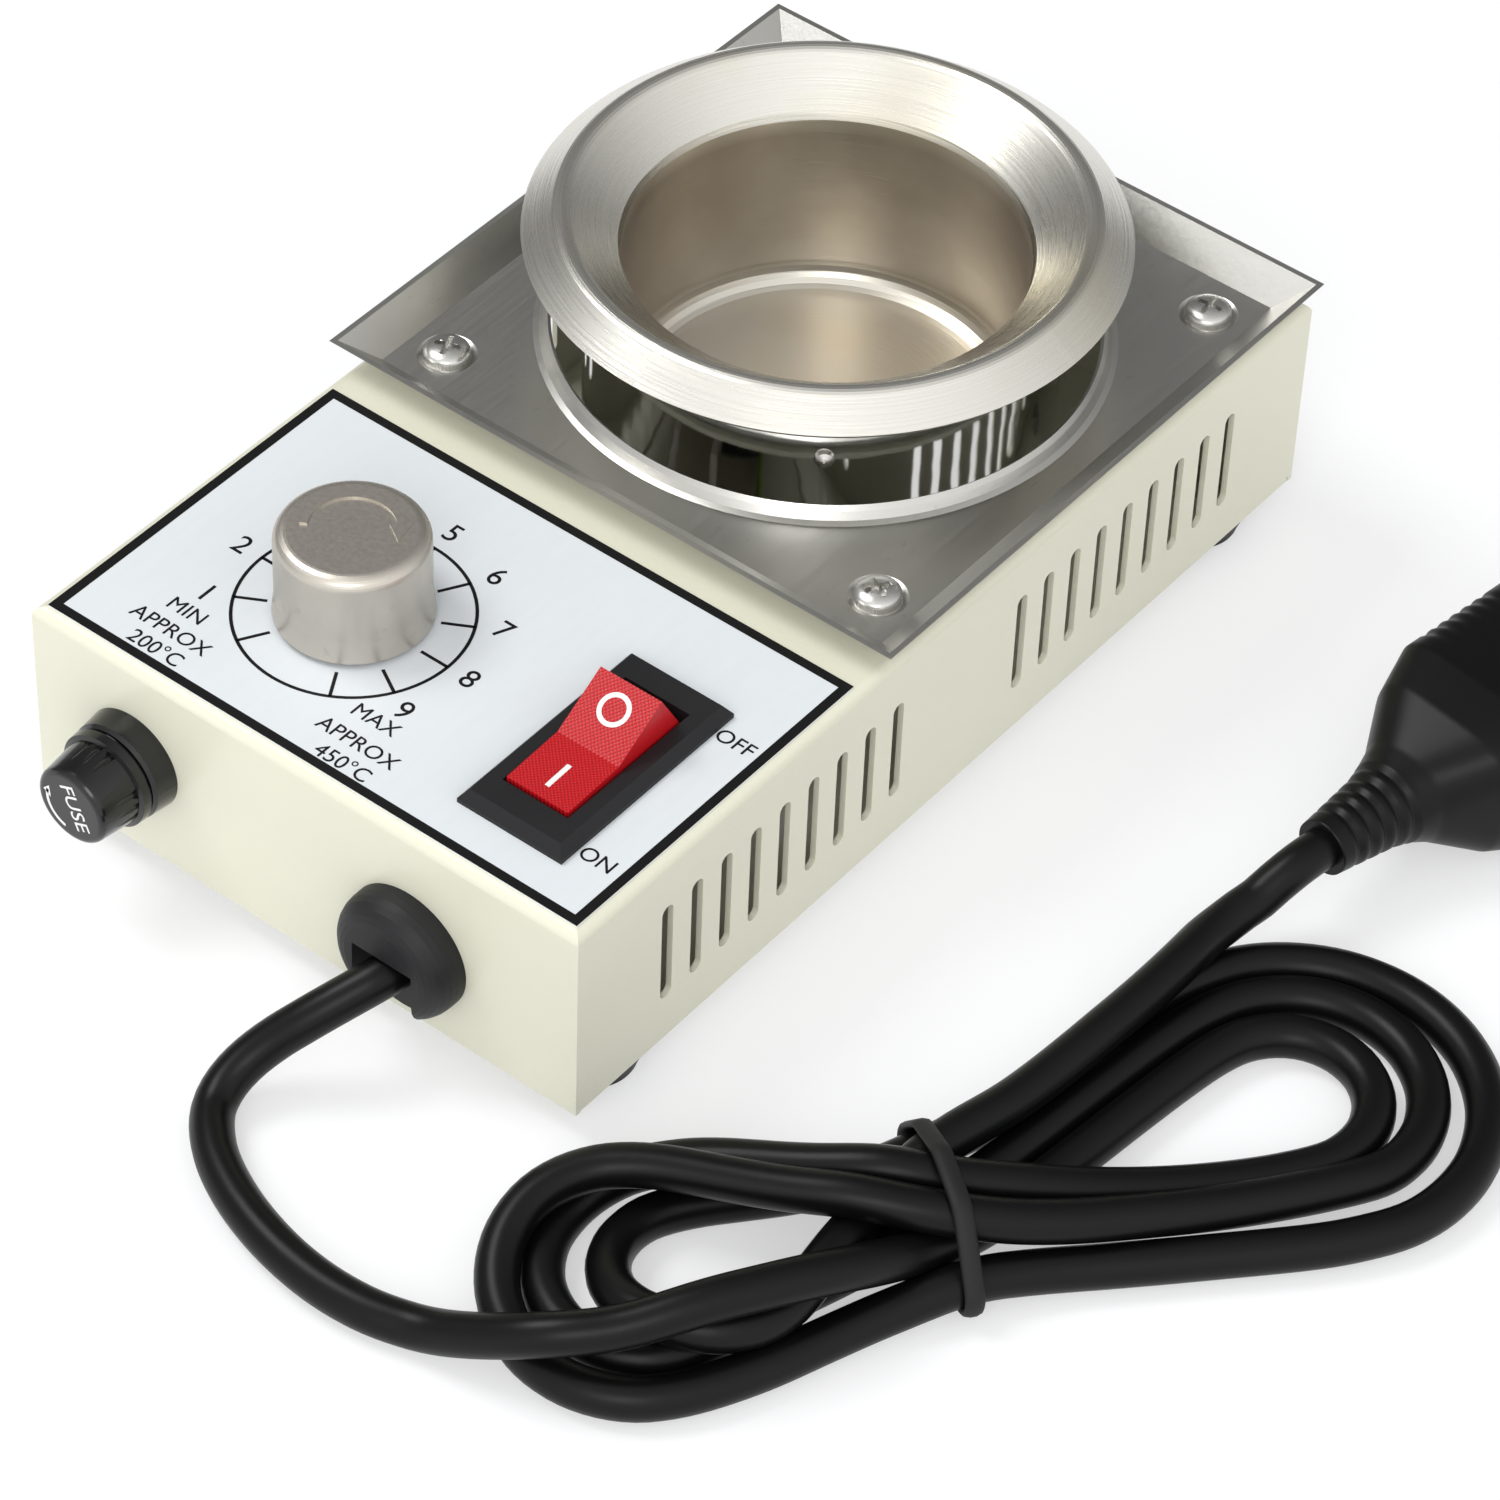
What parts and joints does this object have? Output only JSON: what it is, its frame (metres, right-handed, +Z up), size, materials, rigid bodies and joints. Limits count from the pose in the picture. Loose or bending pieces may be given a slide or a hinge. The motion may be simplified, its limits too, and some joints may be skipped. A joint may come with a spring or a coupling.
{
  "type": "solder pot",
  "caption": "Small electric solder pot with a round steel crucible over a square drip tray, a temperature knob, a rocker switch, a fuse and a tied mains lead.",
  "frame": {"origin": "on the ground, under the middle of the object's box measured without its lead", "axes": "+Z up, the case's front face with the fuse and the lead looks along -Y, the crucible is towards +Y, +X to the right seen from the front"},
  "size_m": [0.1681, 0.1872, 0.0514],
  "materials": {
    "cream_paint": "smooth cream enamel",
    "black_rubber": "soft black rubber",
    "zinc_steel": "plain plated steel",
    "stainless_screws": "bright stainless",
    "printed_film": "silver-grey film printed in black",
    "satin_knob_steel": "satin pressed metal",
    "black_moulding": "matte black moulding",
    "red_rocker": "clear red with white marks",
    "black_gloss": "glossy black moulding",
    "brass": "plain brass",
    "clear_glass": "clear tube",
    "nickel": "bright nickel",
    "tray_steel": "cold-rolled stainless with fine scratches",
    "crucible_steel": "stainless brushed round its axis, tinted by heat inside",
    "mirror_shield": "polished stainless",
    "mica_band": "mica-faced heater band",
    "ceramic_felt": "pressed ceramic felt",
    "board_laminate": "brown paper laminate",
    "yellow_film": "yellow film capacitor case",
    "brown_wire": "insulated wire",
    "blue_wire": "insulated wire",
    "green_wire": "insulated wire",
    "white_sleeve": "woven glass sleeve",
    "black_cord": "satin black cord sheath"
  },
  "bodies": {
    "base": {"cover": "cream_paint", "base_plate": "cream_paint", "foot_front_left": "black_rubber", "foot_front_right": "black_rubber", "foot_rear_left": "black_rubber", "foot_rear_right": "black_rubber", "cord_tie": "black_rubber", "foot_screws": "zinc_steel", "control_washer": "zinc_steel", "control_nut": "zinc_steel", "control": "zinc_steel", "tray_nuts": "zinc_steel", "pot_nut": "zinc_steel", "pot_stud": "zinc_steel", "pot_spacer": "zinc_steel", "earth_tag": "zinc_steel", "tray_screws": "stainless_screws", "shield_rivets": "stainless_screws", "panel_label": "printed_film", "strain_relief": "black_moulding", "switch_housing": "black_moulding", "triac": "black_moulding", "fuse_holder": "black_gloss", "fuse_holder_nut": "black_gloss", "switch_terminals": "brass", "fuse_tags": "brass", "earth_screw": "brass", "plug_blades": "brass", "plug_earth_pin": "brass", "tray": "tray_steel", "crucible": "crucible_steel", "heat_shield": "mirror_shield", "heater_band": "mica_band", "pot_insulation": "ceramic_felt", "circuit_board": "board_laminate", "filter_capacitor": "yellow_film", "wire_live": "brown_wire", "wire_switch": "brown_wire", "wire_feed": "brown_wire", "wire_neutral": "blue_wire", "wire_lamp": "blue_wire", "wire_earth": "green_wire", "heater_lead_left": "white_sleeve", "heater_lead_right": "white_sleeve", "cord_lead": "black_cord", "cord_hank": "black_cord", "cord_tail": "black_cord", "plug_body": "black_cord"},
    "knob": {"knob_cap": "satin_knob_steel", "knob_core": "black_moulding", "control_shaft": "zinc_steel"},
    "rocker": {"rocker": "red_rocker"},
    "fuse": {"fuse_glass": "clear_glass", "fuse_ferrules": "nickel"},
    "fuse_cap": {"fuse_cap": "black_gloss"}
  },
  "joints": [
    {"name": "knob_turn", "type": "hinge", "parent": "base", "child": "knob", "pos_m": [-0.012, -0.0418, 0.04], "axis": [0, 0, 1], "range_deg": [-300, 0]},
    {"name": "rocker_tilt", "type": "hinge", "parent": "base", "child": "rocker", "pos_m": [0.0247, -0.0423, 0.0306], "axis": [-1, 0, 0], "range_deg": [0, 34]},
    {"name": "fuse_slide", "type": "slide", "parent": "base", "child": "fuse", "axis": [0, -1, 0], "range_m": [0, 0.03]},
    {"name": "fuse_cap_turn", "type": "hinge", "parent": "fuse", "child": "fuse_cap", "pos_m": [-0.0257, -0.0701, 0.0182], "axis": [0, -1, 0], "range_deg": [0, 90]}
  ]
}
